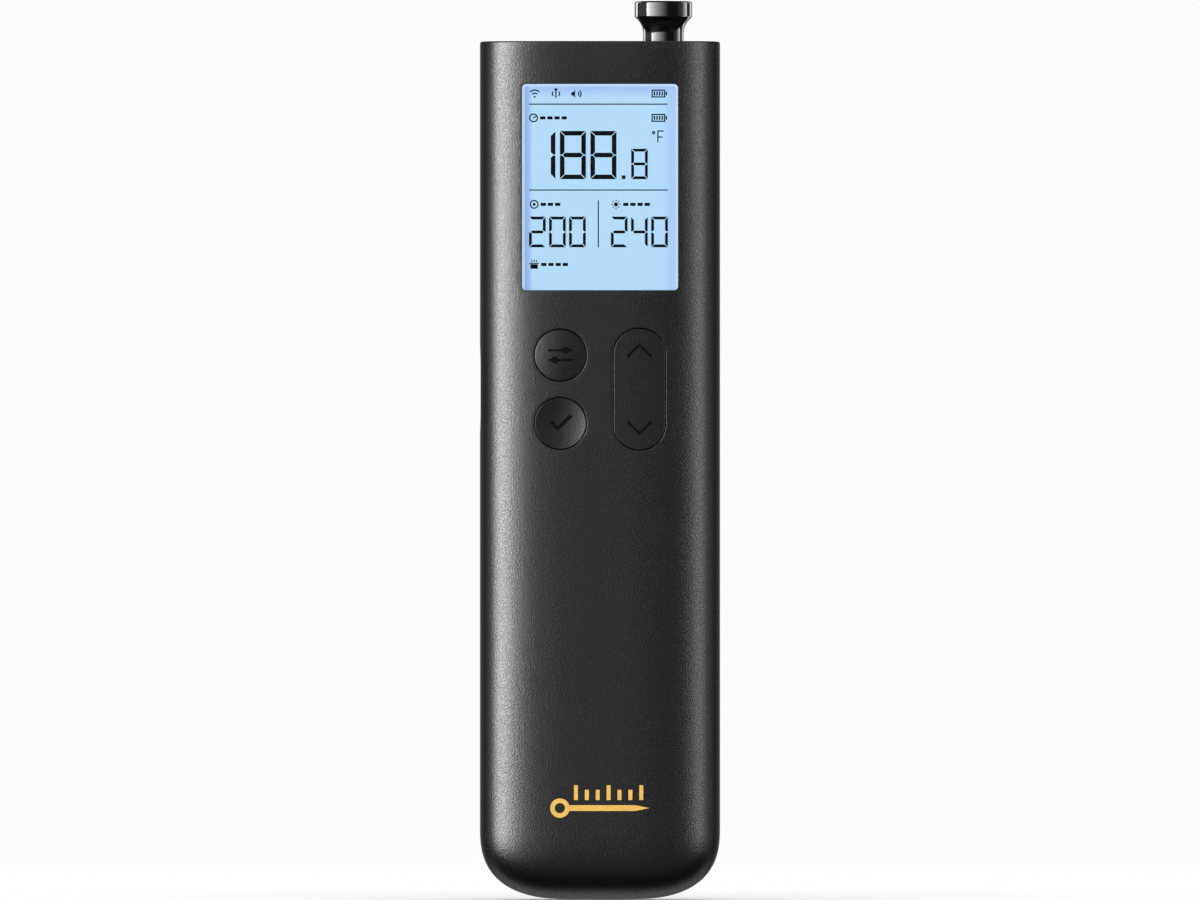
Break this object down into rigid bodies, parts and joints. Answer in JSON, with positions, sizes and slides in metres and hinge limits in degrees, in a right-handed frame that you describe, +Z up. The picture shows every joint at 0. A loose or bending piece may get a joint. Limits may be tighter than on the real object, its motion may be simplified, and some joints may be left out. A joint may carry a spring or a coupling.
{
  "type": "wireless food thermometer",
  "caption": "Slim handheld thermometer receiver with a backlit segment display, front and side keys, a magnetic back, and a cordless food probe stored in a socket in its top end.",
  "frame": {"origin": "centre of the flat magnetic back face", "axes": "+Z up along the body towards the probe head, -Y out of the display, +Y out of the magnetic back, +X to the right of someone who faces the display"},
  "size_m": [0.042, 0.0255, 0.1572],
  "materials": {
    "shell": "charcoal satin with a fine metallic speckle",
    "cap": "fine satin",
    "keys": "charcoal satin",
    "window": "clear gloss",
    "lcd_glow": "backlit pale blue",
    "lcd_ink": "black segments",
    "diffuser": "milky",
    "white_plastic": "satin white",
    "grey_plastic": "satin grey",
    "tape": "matte black",
    "zebra_rubber": "soft",
    "led": "translucent",
    "rubber_black": "soft matte",
    "back_pad": "soft-touch matte",
    "nickel": "bright nickel",
    "screw_steel": "dark zinc",
    "probe_steel": "fine brushed stainless",
    "gold_mark": "gold foil",
    "gold_contact": "gold plated",
    "ceramic": "polished black ceramic",
    "switch_black": "matte",
    "chip": "moulded epoxy",
    "chip_ceramic": "fired ceramic",
    "board": "green solder mask",
    "battery_foil": "crimped foil",
    "foam": "open-cell foam",
    "lead_red": "wire insulation"
  },
  "bodies": {
    "housing": {"front_shell": "shell", "rear_shell": "shell", "top_cap": "cap", "probe_bush": "rubber_black", "shell_gasket": "rubber_black", "back_pad": "back_pad", "magnets": "nickel", "shell_screws": "screw_steel", "front_badge": "gold_mark", "display_window": "window", "window_tape": "tape", "lcd_panel": "lcd_glow", "lcd_segments": "lcd_ink", "light_guide": "diffuser", "lcd_frame": "white_plastic", "lcd_connector": "zebra_rubber", "backlight_leds": "led", "rocker_pin": "screw_steel", "key_guide": "grey_plastic", "front_switches": "switch_black", "rocker_plungers": "switch_black", "power_switch": "switch_black", "main_board": "board", "board_screws": "screw_steel", "radio_can": "nickel", "main_chip": "chip", "board_parts": "chip_ceramic", "chip_antenna": "chip_ceramic", "buzzer": "switch_black", "usb_shell": "nickel", "usb_tongue": "switch_black", "port_seal": "rubber_black", "battery_cell": "battery_foil", "battery_foam": "foam", "battery_leads": "lead_red", "battery_plug": "white_plastic", "battery_socket": "white_plastic", "probe_sleeve": "grey_plastic", "tip_contact": "gold_contact", "collar_contact": "gold_contact"},
    "probe": {"probe_head": "ceramic", "probe_collar": "probe_steel", "probe_stem": "probe_steel", "probe_tip": "probe_steel", "probe_cell": "battery_foil", "probe_board": "board", "probe_antenna": "gold_contact", "probe_sensors": "chip_ceramic"},
    "set_button": {"set_key": "keys", "set_plunger": "switch_black"},
    "ok_button": {"ok_key": "keys", "ok_plunger": "switch_black"},
    "rocker": {"rocker_key": "keys"},
    "side_button": {"power_key": "keys", "power_plunger": "switch_black"}
  },
  "joints": [
    {"name": "probe_lift", "type": "slide", "parent": "housing", "child": "probe", "axis": [0, 0, 1], "range_m": [0, 0.15]},
    {"name": "set_press", "type": "slide", "parent": "housing", "child": "set_button", "axis": [0, 1, 0], "range_m": [0, 0.0005], "stiffness_N_per_m": 1000, "springref_m": -0.0005},
    {"name": "ok_press", "type": "slide", "parent": "housing", "child": "ok_button", "axis": [0, 1, 0], "range_m": [0, 0.0005], "stiffness_N_per_m": 1000, "springref_m": -0.0005},
    {"name": "side_press", "type": "slide", "parent": "housing", "child": "side_button", "axis": [1, 0, 0], "range_m": [0, 0.0005], "stiffness_N_per_m": 1000, "springref_m": -0.0005},
    {"name": "rocker_tilt", "type": "hinge", "parent": "housing", "child": "rocker", "pos_m": [0.0069, -0.0212, 0.0142], "axis": [1, 0, 0], "range_deg": [-1.8, 1.8], "stiffness_Nm_per_rad": 0.15}
  ]
}
